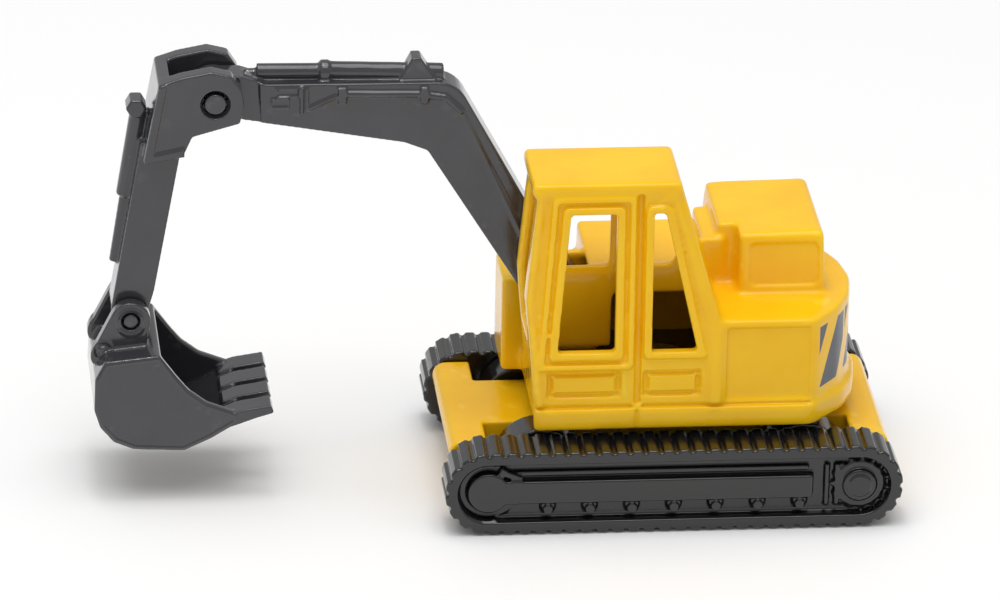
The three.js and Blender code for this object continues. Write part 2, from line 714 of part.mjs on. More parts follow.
function makeBucket() {
  // the side outline, from the upper edge of the mouth round the back to the cutting edge
  const back = [
    [-3.2, -3],
    [3.2, -3.7],
    [4.4, -6],
    [4.5, -10],
    [3.8, -12.2],
    [2.2, -14.1],
    [-0.2, -15.1],
    [-6.2, -15.4],
    [-9.4, -13.9],
    [-12.8, -11.8],
  ];
  const lip = [-12.8, -10.8];
  const mouth = [[-8.9, -9.3], [-6.8, -7.7], [-5.4, -6]];
  let bucket = acrossY([...back, lip, ...mouth], bucketLow, bucketHigh);
  const middle = [-5, -8.8];
  const shrink = ([x, z]) => {
    const away = new THREE.Vector2(middle[0] - x, middle[1] - z).setLength(bucketWall * 1.15);
    return [x + away.x, z + away.y];
  };
  const hollow = [
    [-4.2, -3 + cut],
    [-3.2, -3 - bucketWall],
    ...back.slice(1, -1).map(shrink),
    [-12.4, -10.8],
    [-14.1, -9.6],
  ];
  bucket = bucket.subtract(acrossY(hollow, bucketLow + bucketWall, bucketHigh - bucketWall));
  // ears
  const ear = [
    ...arc(0, 0, bucketEarRadius, 20, 190, 8),
    [-1.8, -3.5],
    [3, -4.4],
    ...arc(2.7, -4.4, 2.1, -30, 50, 4),
  ];
  bucket = bucket.add(acrossY(ear, earLow - bucketEarThickness, earLow));
  bucket = bucket.add(acrossY(ear, earHigh, earHigh + bucketEarThickness));
  // teeth
  const toothPitch = (bucketWidth - toothWidth) / (toothCount - 1);
  for (let i = 0; i < toothCount; i++) {
    const y = bucketLow + i * toothPitch;
    const tooth = [
      [-11.6, -12.3],
      [-11.6, -12.3 + toothThickness + 0.4],
      [-12.8 - toothLength, -10.3],
      [-12.8 - toothLength, -10.8],
    ];
    bucket = bucket.add(acrossY(tooth, y, y + toothWidth));
  }
  const far = bucketEarThickness + cut;
  return bucket.subtract(barY(bucketPinRadius + pinGap, 0, 0, earLow - far, earHigh + far));
}

function makeBucketPin() {
  return barY(bucketPinRadius, 0, 0, earLow - bucketEarThickness, earHigh + bucketEarThickness);
}

// ---- the toy ----
const toy = new THREE.Group();
const undercarriage = new THREE.Group();
const house = new THREE.Group();
house.position.z = houseBottom;
const boomGroup = new THREE.Group(); // its origin is the boom pin
boomGroup.position.set(boomPinX, 0, boomPinZ);
const stickGroup = new THREE.Group(); // its origin is the stick pin
stickGroup.position.set(boomReach, 0, boomRise);
const bucketGroup = new THREE.Group(); // its origin is the bucket pin
bucketGroup.position.set(stickReach, 0, -stickDrop);
toy.add(undercarriage, house);
house.add(boomGroup);
boomGroup.add(stickGroup);
stickGroup.add(bucketGroup);

addPiece(undercarriage, "chassis_frame", makeChassisFrame(), enamel);
addPiece(undercarriage, "left_track", makeTrack(1), blackPlastic);
addPiece(undercarriage, "right_track", makeTrack(-1), blackPlastic);
addPiece(undercarriage, "base_plate", makeBasePlate(), blackPlastic);
addPiece(undercarriage, "base_rivet_front", makeBaseRivet(1), steel);
addPiece(undercarriage, "base_rivet_rear", makeBaseRivet(-1), steel);
addPiece(undercarriage, "slew_rivet", makeSlewRivet(), steel);
addPiece(undercarriage, "slew_washer", makeSlewWasher(), steel);
for (const [place, x] of [["front", frontAxleX], ["rear", rearAxleX]]) {
  addPiece(undercarriage, `${place}_axle`, makeAxle(x), steel);
  addPiece(undercarriage, `${place}_left_wheel`, makeWheel(x, 1), blackPlastic);
  addPiece(undercarriage, `${place}_right_wheel`, makeWheel(x, -1), blackPlastic);
}

addPiece(house, "house_shell", makeHouseShell(), enamel);
addPiece(house, "floor_plate", makeFloorPlate(), blackPlastic);
addPiece(house, "floor_rivet", makeFloorRivet(), steel);
addPiece(house, "boom_pin", makeBoomPin(), steel);

addPiece(boomGroup, "boom", makeBoom(), blackPlastic);
addPiece(stickGroup, "stick", makeStick(), blackPlastic);
addPiece(stickGroup, "stick_pin", makeStickPin(), blackPlastic);
addPiece(bucketGroup, "bucket", makeBucket(), blackPlastic);
addPiece(bucketGroup, "bucket_pin", makeBucketPin(), blackPlastic);

const size = new THREE.Box3().setFromObject(toy);
toy.position.set(-(size.min.x + size.max.x) / 2, -(size.min.y + size.max.y) / 2, -size.min.z);

export default toy;
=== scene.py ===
import json
import math

import bmesh
import bpy
from mathutils import Matrix, Vector


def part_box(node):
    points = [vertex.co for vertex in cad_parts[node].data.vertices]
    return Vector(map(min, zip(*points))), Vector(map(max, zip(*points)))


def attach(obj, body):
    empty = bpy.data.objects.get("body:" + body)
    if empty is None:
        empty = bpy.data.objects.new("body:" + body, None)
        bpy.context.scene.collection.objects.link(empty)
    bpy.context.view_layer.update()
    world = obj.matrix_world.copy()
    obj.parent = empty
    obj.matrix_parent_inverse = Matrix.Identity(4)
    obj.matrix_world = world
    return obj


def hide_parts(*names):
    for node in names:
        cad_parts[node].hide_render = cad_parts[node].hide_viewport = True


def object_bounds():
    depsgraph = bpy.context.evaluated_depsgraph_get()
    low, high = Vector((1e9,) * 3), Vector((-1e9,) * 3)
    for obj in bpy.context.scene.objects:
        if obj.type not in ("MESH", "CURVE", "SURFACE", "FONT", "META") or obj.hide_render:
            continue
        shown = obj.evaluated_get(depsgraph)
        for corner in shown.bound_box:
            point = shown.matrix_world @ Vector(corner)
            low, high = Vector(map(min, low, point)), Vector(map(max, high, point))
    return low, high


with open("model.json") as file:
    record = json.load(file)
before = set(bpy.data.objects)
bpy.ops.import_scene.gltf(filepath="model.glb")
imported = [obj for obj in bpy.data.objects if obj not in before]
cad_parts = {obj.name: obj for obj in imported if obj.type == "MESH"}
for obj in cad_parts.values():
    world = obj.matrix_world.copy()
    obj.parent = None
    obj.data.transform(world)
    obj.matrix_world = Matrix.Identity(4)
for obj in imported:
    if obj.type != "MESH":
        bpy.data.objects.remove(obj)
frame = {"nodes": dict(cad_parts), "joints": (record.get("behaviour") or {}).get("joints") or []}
cadLow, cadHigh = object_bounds()
print("frame loaded")

mm = 0.001
pins = {joint["name"]: Vector(joint["pos_m"]) for joint in frame["joints"]}
slew = Vector((pins["house_slew"].x, 0, 0))  # on the ground, under the slew axis
boomPin = Vector((pins["boom_lift"].x, 0, pins["boom_lift"].z))
stickPin = Vector((pins["stick_swing"].x, 0, pins["stick_swing"].z))
bucketPin = Vector((pins["bucket_curl"].x, 0, pins["bucket_curl"].z))


def span(node):  # a node's box in millimetres from the slew axis
    low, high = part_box(node)
    return (Vector(low) - slew) / mm, (Vector(high) - slew) / mm


# ---- shapes: outlines are (x, z) pairs in millimetres from an origin, drawn out along Y ----
def arc(cx, cz, radius, start, end, steps):
    turns = [math.radians(start + (end - start) * i / steps) for i in range(steps + 1)]
    return [(cx + radius * math.cos(a), cz + radius * math.sin(a)) for a in turns]


# The corners of a four-sided outline moved outwards, away from a middle.
def around(outline, out, middle):
    cx, cz = middle
    return [(x + math.copysign(out, x - cx), z + math.copysign(out, z - cz)) for x, z in outline]


def rect(x0, x1, z0, z1):
    return [(x0, z0), (x1, z0), (x1, z1), (x0, z1)]


# Puts a rim inside the only face, or with a negative width outside it, and gives the face in its middle.
def rim(bm, width):
    made = bmesh.ops.inset_region(bm, faces=bm.faces[:], thickness=width * mm, use_boundary=True,
                                  use_even_offset=True)["faces"]
    return [face for face in bm.faces if face not in made]


def plate(outline, low, high, origin=slew, corner=0, ring=0, outside=0):
    bm = bmesh.new()
    bm.faces.new([bm.verts.new((x * mm, 0, z * mm)) for x, z in outline])
    if corner:
        bmesh.ops.bevel(bm, geom=bm.verts[:], affect="VERTICES", offset=corner * mm, segments=4,
                        profile=0.5, material=-1)
    if ring or outside:  # only the rim is left: inside the outline, or all round it
        bmesh.ops.delete(bm, geom=rim(bm, ring or -outside), context="FACES")
    drawn = bmesh.ops.extrude_face_region(bm, geom=bm.faces[:])
    moved = [v for v in drawn["geom"] if isinstance(v, bmesh.types.BMVert)]
    bmesh.ops.translate(bm, verts=moved, vec=(0, (high - low) * mm, 0))
    bmesh.ops.translate(bm, verts=bm.verts, vec=origin + Vector((0, low * mm, 0)))
    bmesh.ops.recalc_face_normals(bm, faces=bm.faces)
    return bm


# A (y, z) outline, drawn out along X.
def acrossX(outline, x0, x1):
    bm = plate(outline, -x1, -x0, Vector())
    bmesh.ops.rotate(bm, verts=bm.verts, cent=(0, 0, 0), matrix=Matrix.Rotation(math.radians(90), 3, "Z"))
    bmesh.ops.translate(bm, verts=bm.verts, vec=slew)
    return bm


# What has to go to round an upper corner at (x, z), open to the right, or with right=-1 to the left.
def shaving(x, z, radius, right):
    bend = arc(x - right * radius, z - radius, radius, 90, 90 * (1 - right), 6)
    clear = 0.5  # how far it reaches past the faces
    over = [(x + right * clear, z + clear), (x - right * radius, z + clear)]
    return over + bend + [(x + right * clear, z - radius)]


# An (x, y) outline, drawn upwards.
def planPlate(outline, z0, z1, corner=0, outside=0):
    bm = plate(outline, -z1, -z0, Vector(), corner=corner, outside=outside)
    bmesh.ops.rotate(bm, verts=bm.verts, cent=(0, 0, 0), matrix=Matrix.Rotation(math.radians(-90), 3, "X"))
    bmesh.ops.translate(bm, verts=bm.verts, vec=slew)
    return bm


def block(x0, x1, y0, y1, z0, z1):
    return plate(rect(x0, x1, z0, z1), y0, y1)


def disc(radius, x, z, low, high, origin=slew, ring=0, segments=48):
    return plate(arc(x, z, radius, 0, 360 - 360 / segments, segments - 1), low, high, origin, ring=ring)


def rod(radius, start, end, y, origin=slew):
    a = Vector((start[0], y, start[1])) * mm
    b = Vector((end[0], y, end[1])) * mm
    bm = bmesh.new()
    bmesh.ops.create_cone(bm, cap_ends=True, segments=24, radius1=radius * mm, radius2=radius * mm,
                          depth=(b - a).length)
    turn = (b - a).to_track_quat("Z", "Y").to_matrix()
    bmesh.ops.rotate(bm, verts=bm.verts, cent=(0, 0, 0), matrix=turn)
    bmesh.ops.translate(bm, verts=bm.verts, vec=origin + (a + b) / 2)
    return bm


def gather(name, solids):
    whole = bmesh.new()
    for bm in solids:
        part = bpy.data.meshes.new("part")
        bm.to_mesh(part)
        bm.free()
        whole.from_mesh(part)
        bpy.data.meshes.remove(part)
    bmesh.ops.recalc_face_normals(whole, faces=whole.faces)
    mesh = bpy.data.meshes.new(name)
    whole.to_mesh(mesh)
    whole.free()
    obj = bpy.data.objects.new(name, mesh)
    bpy.context.scene.collection.objects.link(obj)
    return obj


def nodeCopy(node):
    bm = bmesh.new()
    bm.from_mesh(frame["nodes"][node].data)
    bmesh.ops.remove_doubles(bm, verts=bm.verts, dist=0.002 * mm)
    return bm


def settle(obj):
    bpy.context.view_layer.update()
    graph = bpy.context.evaluated_depsgraph_get()
    made = bpy.data.meshes.new_from_object(obj.evaluated_get(graph), depsgraph=graph)
    obj.modifiers.clear()
    obj.data = made


def carve(obj, solids, solver="EXACT"):
    tool = gather("tool", solids)
    step = obj.modifiers.new("carve", "BOOLEAN")
    step.object = tool
    step.operation = "DIFFERENCE"
    step.solver = solver
    step.use_self = solver == "EXACT"
    settle(obj)
    bpy.data.objects.remove(tool)


def join(obj, solids):
    if solids:
        bm = bmesh.new()
        bm.from_mesh(obj.data)
        extra = gather("extra", solids)
        bm.from_mesh(extra.data)
        bpy.data.objects.remove(extra)
        bm.to_mesh(obj.data)
        bm.free()


def melt(obj, grain, soft, keep):
    skin = obj.modifiers.new("melt", "REMESH")
    skin.mode = "VOXEL"
    skin.voxel_size = grain * mm
    smooth = obj.modifiers.new("soften", "SMOOTH")
    smooth.factor = 0.5
    smooth.iterations = soft
    thin = obj.modifiers.new("thin", "DECIMATE")
    thin.ratio = keep
    settle(obj)


halfKept = 0.5  # the share of faces that the first melt leaves


# Joins the added solids, melts all of it into one skin and rounds its edges as a casting's are.
def cast(name, base, cuts, adds, look, early=(), sturdy=()):
    obj = gather(name, [base])
    if early:
        carve(obj, early)
    join(obj, sturdy)
    if "round" in look:  # the bare casting is rounded first, so that its finer details stay crisp
        melt(obj, look["grain"], look["round"], halfKept)
    if cuts:
        carve(obj, cuts, "MANIFOLD" if "round" in look else "EXACT")
    join(obj, adds)
    melt(obj, look["grain"], look["soft"], look["keep"])
    obj.data.shade_smooth()
    print(name, "has", len(obj.data.polygons), "faces")
    return obj


def place(obj, body, slot, material, *nodes):
    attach(obj, body)
    if nodes:
        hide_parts(*nodes)
    obj.data.materials.clear()
    obj.data.materials.append(material)


# ---- finishes ----
def newFinish(name, colour, roughness):
    finish = bpy.data.materials.new(name)
    finish.use_nodes = True
    nodes = finish.node_tree.nodes
    shader = nodes["Principled BSDF"]
    shader.inputs["Base Color"].default_value = (*colour, 1)
    shader.inputs["Roughness"].default_value = roughness
    where = nodes.new("ShaderNodeTexCoord")
    return finish, nodes, finish.node_tree.links.new, shader, where.outputs["Object"]


def cloud(nodes, link, coords, size, detail=3):
    noise = nodes.new("ShaderNodeTexNoise")
    noise.inputs["Scale"].default_value = 1 / (size * mm)
    noise.inputs["Detail"].default_value = detail
    link(coords, noise.inputs["Vector"])
    return noise.outputs["Fac"]


def ramp(nodes, link, source, low, high, first, last):
    band = nodes.new("ShaderNodeMapRange")
    for key, value in (("From Min", low), ("From Max", high), ("To Min", first), ("To Max", last)):
        band.inputs[key].default_value = value
    link(source, band.inputs["Value"])
    return band.outputs["Result"]


def sums(nodes, link, kind, a, b):
    step = nodes.new("ShaderNodeMath")
    step.operation = kind
    for socket, value in zip(step.inputs, (a, b)):
        if isinstance(value, (int, float)):
            socket.default_value = value
        else:
            link(value, socket)
    return step.outputs["Value"]


def blend(nodes, link, amount, first, second):
    mix = nodes.new("ShaderNodeMix")
    mix.data_type = "RGBA"
    link(amount, mix.inputs["Factor"])
    for socket, value in ((mix.inputs["A"], first), (mix.inputs["B"], second)):
        if isinstance(value, tuple):
            socket.default_value = (*value, 1)
        else:
            link(value, socket)
    return mix.outputs["Result"]


def bump(nodes, link, height, strength, depth, shader):
    relief = nodes.new("ShaderNodeBump")
    relief.inputs["Strength"].default_value = strength
    relief.inputs["Distance"].default_value = depth * mm
    link(height, relief.inputs["Height"])
    link(relief.outputs["Normal"], shader.inputs["Normal"])
    return relief


enamelLook = {
    "yellow": (0.95, 0.57, 0.008),
    # deeper yellow, for random patches and for the painted shade in creases
    "deepToneAndShade": (0.91, 0.5, 0.005),
    "thin": (0.95, 0.63, 0.035),  # paler yellow on sharp edges, a painted highlight
    "shine": 0.12,
    "dull": 0.12,  # how much rougher the dull patches are
    "dullSize": 2.5,  # millimetres
    "patchSize": 9,
    "level": 0.2,
    "coat": 0.22,
    "coatRough": 0.04,
    "peel": 1.1,  # millimetres between the ripples of the paint
    "peelStrength": 0.25,
    "peelDepth": 0.05,
    "print": (0.085, 0.095, 0.11),
    "printDull": 0.15,
    "stripeWide": 4.0,
    "stripePitch": 6.4,
    "stripeLean": 0.5,
    "stripeStart": 44.9,
    "stripeLow": 15.7,
    "stripeHigh": 23.6,
    "corner": (-16.8, 13.2),  # where the side turns in, from the slew axis
    "turnedX": -0.612,  # direction of the slanting face behind that corner
    "turnedY": -0.79,
    "border": 1.1,  # left bare beside the corner
    "gapAt": 7.7,  # thin bare line between the two slanting faces
    "gapHalf": 0.25,
}


def enamel(name, striped):
    look = enamelLook
    finish, nodes, link, shader, coords = newFinish(name, look["yellow"], look["shine"])
    shader.inputs["Specular IOR Level"].default_value = look["level"]
    shader.inputs["Coat Weight"].default_value = look["coat"]
    shader.inputs["Coat Roughness"].default_value = look["coatRough"]
    patches = ramp(nodes, link, cloud(nodes, link, coords, look["patchSize"]), 0.35, 0.7, 0, 1)
    colour = blend(nodes, link, patches, look["yellow"], look["deepToneAndShade"])
    shape = nodes.new("ShaderNodeNewGeometry")
    # painted highlight: sharp convex edges are mixed towards the paler yellow
    edges = ramp(nodes, link, shape.outputs["Pointiness"], 0.51, 0.57, 0, 0.7)
    colour = blend(nodes, link, edges, colour, look["thin"])
    # painted shade: concave creases and grooves are mixed towards the deeper yellow
    paintedShade = ramp(nodes, link, shape.outputs["Pointiness"], 0.49, 0.44, 0, 0.6)
    colour = blend(nodes, link, paintedShade, colour, look["deepToneAndShade"])
    dullness = cloud(nodes, link, coords, look["dullSize"])
    shine = ramp(nodes, link, dullness, 0.3, 0.7, look["shine"], look["shine"] + look["dull"])
    if striped:
        inked = stripes(nodes, link, coords, look)
        colour = blend(nodes, link, inked, colour, look["print"])
        shine = sums(nodes, link, "ADD", shine, sums(nodes, link, "MULTIPLY", inked, look["printDull"]))
    link(colour, shader.inputs["Base Color"])
    link(shine, shader.inputs["Roughness"])
    ripples = cloud(nodes, link, coords, look["peel"], 2)
    bump(nodes, link, ripples, look["peelStrength"], look["peelDepth"], shader)
    return finish


# Slanting stripes printed round the rear corners, from how far past the corner a point is and how high.
def stripes(nodes, link, coords, look):
    parts = nodes.new("ShaderNodeSeparateXYZ")
    link(coords, parts.inputs["Vector"])
    x = sums(nodes, link, "MULTIPLY", sums(nodes, link, "SUBTRACT", parts.outputs["X"], slew.x), 1 / mm)
    y = sums(nodes, link, "MULTIPLY", sums(nodes, link, "ABSOLUTE", parts.outputs["Y"], 0), 1 / mm)
    z = sums(nodes, link, "MULTIPLY", parts.outputs["Z"], 1 / mm)
    cornerX, cornerY = look["corner"]
    along = sums(nodes, link, "MULTIPLY", sums(nodes, link, "SUBTRACT", x, cornerX), look["turnedX"])
    inward = sums(nodes, link, "MULTIPLY", sums(nodes, link, "SUBTRACT", y, cornerY), look["turnedY"])
    past = sums(nodes, link, "ADD", along, inward)
    slant = sums(nodes, link, "SUBTRACT", past, sums(nodes, link, "MULTIPLY", z, look["stripeLean"]))
    started = sums(nodes, link, "ADD", slant, look["stripeStart"])
    turn = sums(nodes, link, "DIVIDE", started, look["stripePitch"])
    wave = sums(nodes, link, "FRACT", turn, 0)
    inked = sums(nodes, link, "LESS_THAN", wave, look["stripeWide"] / look["stripePitch"])
    for value, kind, limit in ((z, "GREATER_THAN", look["stripeLow"]), (z, "LESS_THAN", look["stripeHigh"]),
                               (past, "GREATER_THAN", look["border"]), (x, "LESS_THAN", cornerX - 0.1)):
        inked = sums(nodes, link, "MULTIPLY", inked, sums(nodes, link, kind, value, limit))
    gap = sums(nodes, link, "COMPARE", past, look["gapAt"])
    gap.node.inputs[2].default_value = look["gapHalf"]
    return sums(nodes, link, "MULTIPLY", inked, sums(nodes, link, "SUBTRACT", 1, gap))


plasticLook = {
    "arm": (0.032, 0.032, 0.037),
    "track": (0.006, 0.006, 0.007),
    "shine": 0.1,
    "trackShine": 0.15,
    "dull": 0.1,
    "dullSize": 1.8,  # millimetres
    "patchSize": 5,
    "pebble": 0.8,
    "pebbleStrength": 0.3,
    "pebbleDepth": 0.06,
    "patch": 1.25,  # how much lighter the cloudy patches are
    "paintedHighlight": 1.8,  # and the sharp edges, a painted highlight
    "coat": 0.5,
    "coatRough": 0.04,
}


def blackPlastic(name, tone, shine):
    look = plasticLook
    finish, nodes, link, shader, coords = newFinish(name, tone, shine)
    patches = ramp(nodes, link, cloud(nodes, link, coords, look["patchSize"]), 0.4, 0.75, 0, 1)
    colour = blend(nodes, link, patches, tone, tuple(part * look["patch"] for part in tone))
    shape = nodes.new("ShaderNodeNewGeometry")
    # painted highlight: sharp convex edges are made lighter
    highlitEdges = ramp(nodes, link, shape.outputs["Pointiness"], 0.52, 0.62, 0, 0.6)
    colour = blend(nodes, link, highlitEdges, colour, tuple(part * look["paintedHighlight"] for part in tone))
    link(colour, shader.inputs["Base Color"])
    dullness = cloud(nodes, link, coords, look["dullSize"])
    link(ramp(nodes, link, dullness, 0.3, 0.7, shine, shine + look["dull"]), shader.inputs["Roughness"])
    shader.inputs["Coat Weight"].default_value = look["coat"]
    shader.inputs["Coat Roughness"].default_value = look["coatRough"]
    pebbles = cloud(nodes, link, coords, look["pebble"], 4)
    bump(nodes, link, pebbles, look["pebbleStrength"], look["pebbleDepth"], shader)
    return finish


steelLook = {
    "mean": (0.56, 0.57, 0.58),
    "dark": (0.42, 0.42, 0.43),
    "light": (0.68, 0.68, 0.69),
    "rough": 0.3,
    "cloudSize": 1.5,  # millimetres
    "dullSize": 0.4,
    "polished": 0.22,
    "dull": 0.45,
    "scratch": 0.3,
    "scratchStrength": 0.3,
    "scratchDepth": 0.03,
}


def platedSteel(name):
    look = steelLook
    finish, nodes, link, shader, coords = newFinish(name, look["mean"], look["rough"])
    shader.inputs["Metallic"].default_value = 1
    tone = blend(nodes, link, cloud(nodes, link, coords, look["cloudSize"]), look["dark"], look["light"])
    link(tone, shader.inputs["Base Color"])
    dullness = cloud(nodes, link, coords, look["dullSize"])
    link(ramp(nodes, link, dullness, 0.3, 0.7, look["polished"], look["dull"]), shader.inputs["Roughness"])
    scratches = cloud(nodes, link, coords, look["scratch"], 4)
    bump(nodes, link, scratches, look["scratchStrength"], look["scratchDepth"], shader)
    return finish


houseEnamel = enamel("yellow enamel with stripes", True)
frameEnamel = enamel("yellow enamel", False)
armPlastic = blackPlastic("glossy black plastic", plasticLook["arm"], plasticLook["shine"])
trackPlastic = blackPlastic("black track plastic", plasticLook["track"], plasticLook["trackShine"])
steel = platedSteel("plated steel")
print("finishes made")

# ---- house ----
houseLook = {
    "grain": 0.22,
    "round": 26,
    "soft": 2,
    "keep": 0.36,
    "side": 13.2,  # the plane of the side, from the middle
    "lean": 1 / 21.6,  # how much the cab's side leans in above its sill
    "sill": 21,
    "proud": 0.6,
    "rooted": 0.8,  # how deep the raised parts reach into the wall
    "groove": 0.55,
    "roof": 42.6,
    "hoodTop": 32.6,
    "hoodLean": 0.118,
    "seam": 4.25,  # between the door and the rear of the cab
    "panelLow": 15.5,  # the framed panels under the windows
    "panelHigh": 18.9,
    "clear": 2,  # how far the cuts reach past the wall
}


# Leans what is above the sill inwards, as the cab's side does.
def leanIn(bm, look):
    sill = look["sill"] * mm
    everything = bm.verts[:] + bm.edges[:] + bm.faces[:]
    bmesh.ops.bisect_plane(bm, geom=everything, plane_co=(0, 0, sill), plane_no=(0, 0, 1))
    for v in bm.verts:
        if v.co.z > sill:
            v.co.y -= (v.co.z - sill) * look["lean"]
    return bm


# Plan of the rear of the body, its sides moved out and its back at a distance behind the slew axis.
def rearPlan(out, back):
    half = houseLook["side"] + out
    left = [(30, half), (-16.8, half), (2.4 - back, 8.8), (0.7 - back, 4.8)]
    return left + [(-back, 0)] + [(x, -y) for x, y in reversed(left)]


def makeHouse():
    look = houseLook
    side, proud, rooted, groove, seam = (look[key] for key in ("side", "proud", "rooted", "groove", "seam"))
    roof, hoodTop, clear = look["roof"], look["hoodTop"], look["clear"]
    front = [(6.6, 21), (14.4, 21), (12.9, 39.2), (6.6, 39.2)]
    rear = [(3.1, 21), (3.1, 39.2), (1.1, 39.2), (-3.4, 21)]

    # a raised frame whose outer edge is at a distance from an opening
    def ridge(outline, out, wide, middle):
        outer = around(outline, out, middle)
        return leanIn(plate(outer, side - rooted, side + proud, ring=wide, corner=0.6), look)

    def dent(outline, depth, ring=0, corner=0.3, lean=True):
        cut = plate(outline, side - depth, side + clear, ring=ring, corner=corner)
        return leanIn(cut, look) if lean else cut

    adds = [
        ridge(front, 0.5, 0.95, (10, 30)),
        ridge(front, 1.75, 0.65, (10, 30)),
        ridge(rear, 0.5, 0.9, (2, 30)),
    ]
    pillar = [(2.4, 40.2), (0.2, 41.2), (-5.75, 24.3), (-5.75, 14.4), (-4.3, 14.4), (-4.3, 22.6),
              (0.4, 40.2)]
    sturdy = [leanIn(plate(pillar, side - rooted, side + proud), look)]
    nose = [(16.2, 14.2), (17.7, 28), (16.4, 41.4), (15.7, 41.4), (16.9, 28), (15.4, 14.2)]
    sturdy.append(leanIn(plate(nose, side - rooted, side + proud), look))
    sturdy.append(plate(rect(9, 16.5, 11.4, 14.1), side - rooted, side + 0.45))
    sturdy.append(plate([(-0.8, 41), (17.2, 41), (17, roof), (-0.5, roof)], 0.8, 12.7))
    sturdy.append(block(6.2, 15.6, 1.5, 2.4, 17.15, 26.9))  # covers the end of the boom pin
    cuts = [
        dent(rect(seam - 0.4, seam + 0.4, 14, 41.2), groove, corner=0),
        dent(rect(seam - 0.3, seam + 0.3, 11, 14.2), -0.05, corner=0),
        dent(rect(6.2, 15, look["panelLow"], look["panelHigh"]), groove, ring=0.7),
        dent(rect(-3.3, 3.6, look["panelLow"], look["panelHigh"]), groove, ring=0.7),
        dent(rect(-16.4, -6.3, 14.7, 24.1), 0.4, lean=False),
        dent(rect(-16.6, 16.2, 14.1, 14.55), 0.35, corner=0, lean=False),
    ]
    # the far side of the body has three plain panels over its sill
    for x0, x1 in ((-16.4, -6.3), (-5.1, 5), (6.2, 15.3)):
        cuts.append(plate(rect(x0, x1, 15, 21.8), -side - clear, -side + 0.4, corner=0.3))
    cuts.append(plate(rect(-16.6, 16.2, 13.9, 14.35), -side - clear, -side + 0.35))
    # a shallow panel in the hood's side, which leans in as the hood does
    hood = plate(rect(-18.2, -9.7, 25.9, 31.3), 4.95, 7.25, corner=0.9)
    for v in hood.verts:
        v.co.y -= (v.co.z - 25 * mm) * look["hoodLean"]
    cuts.append(hood)
    # before the first melt: the cab opens to the machine room, and its rear window gets its lower corner
    early = [
        block(-4.6, 6.2, 0.3, 2.2, 13.4, 23.7),
        plate([(-2.2, 20.95), (-3.45, 20.95), (-3.05, 22.7), (-2.2, 22)], 11, 14),
    ]
    # the roof's and the hood's upper edges are round, and so is the body's rear
    early.append(plate(shaving(17, roof, 1.2, 1), 0, 14))
    early.append(plate(shaving(-0.6, roof, 1, -1), 0, 14))
    early.append(acrossX(shaving(12.4, roof, 1.1, 1), -2, 18))
    early.append(plate(shaving(-19, hoodTop, 1.2, -1), -14, 6))
    early.append(acrossX(shaving(4.5, hoodTop, 1, 1), -20, -8.7))
    for low, high, out, back in ((14.2, 25.4, 0, 22.6), (11, 14.2, 0.4, 23.4)):
        early.append(planPlate(rearPlan(out, back), low, high, corner=0.9, outside=4))
    house = cast("house_casting", nodeCopy("house_shell"), cuts, adds, look, early, sturdy)
    place(house, "house", "yellow_enamel", houseEnamel, "house_shell")


makeHouse()
print("house made")

# ---- chassis ----
chassisLook = {"grain": 0.2, "soft": 8, "keep": 0.5}


def makeChassis():
    chassis = cast("chassis_casting", nodeCopy("chassis_frame"), [], [], chassisLook)
    place(chassis, "undercarriage", "yellow_enamel", frameEnamel, "chassis_frame")


makeChassis()
print("chassis made")

# ---- tracks ----
trackLook = {
    "grain": 0.15,
    "round": 1,
    "soft": 2,
    "keep": 0.42,
    "sprocketX": -22.1,
    "idlerX": 22.1,
    "teeth": 15,
    "toothRing": 3.1,  # radius that the teeth stand on
    "rollers": 7,
    "rollerPitch": 5,
    "rooted": 1.6,  # how deep the raised parts reach in
}


def makeTrack(side, node):
    look = trackLook
    low, high = span(node)
    outer = high.y if side > 0 else low.y
    middle = (low.z + high.z) / 2
    rooted, sprocketX, idlerX = look["rooted"], look["sprocketX"], look["idlerX"]
    adds, cuts = [], []

    def onFace(make, depth, height, *size, **more):  # from a depth below the outer face to a height on it
        a, b = sorted((outer - side * depth, outer + side * height))
        return make(*size, a, b, **more)

    for i in range(look["teeth"]):
        angle = 2 * math.pi * i / look["teeth"]
        x, z = sprocketX + look["toothRing"] * math.cos(angle), middle + look["toothRing"] * math.sin(angle)
        adds.append(onFace(disc, rooted, -0.95, 0.35, x, z, segments=10))
    adds.append(onFace(disc, rooted, -0.35, 3.5, idlerX, middle, ring=0.45))
    adds.append(onFace(disc, rooted, 0, 1.3, sprocketX, middle))
    adds.append(onFace(plate, rooted, -0.9, rect(-16, 21, middle + 1.9, middle + 2.5)))
    adds.append(onFace(plate, rooted, -0.2, rect(17.5, 21.3, middle - 1.45, middle + 1.45)))
    cuts.append(onFace(plate, 1.3, 1, rect(-16.9, 21.7, middle - 1.85, middle + 1.85), ring=0.4))
    for x in (-18.2, -19.4):
        adds.append(onFace(plate, rooted, -0.7, rect(x - 0.25, x + 0.25, middle - 2.6, middle + 2.6)))
    for i in range(look["rollers"]):
        x = (i - (look["rollers"] - 1) / 2) * look["rollerPitch"]
        adds.append(onFace(disc, rooted, -0.3, 0.6, x, middle - 2.3, segments=16))
    strut = [(20.6, middle + 3), (18, middle + 1.9), (18.4, middle + 1.3), (21, middle + 2.4)]
    adds.append(onFace(plate, rooted, -0.4, strut))
    track = cast(node + "_moulding", nodeCopy(node), cuts, adds, look)
    place(track, "undercarriage", "black_plastic", trackPlastic, node)


makeTrack(1, "left_track")
makeTrack(-1, "right_track")
print("tracks made")

# ---- wheels and floor plate ----
wheelLook = {
    "grain": 0.14,
    "round": 2,
    "soft": 1,
    "keep": 0.5,
    "rings": 4,
    "ringHalf": 0.2,
    "ringDepth": 0.35,
}
plateLook = {"grain": 0.22, "soft": 2, "keep": 0.4}


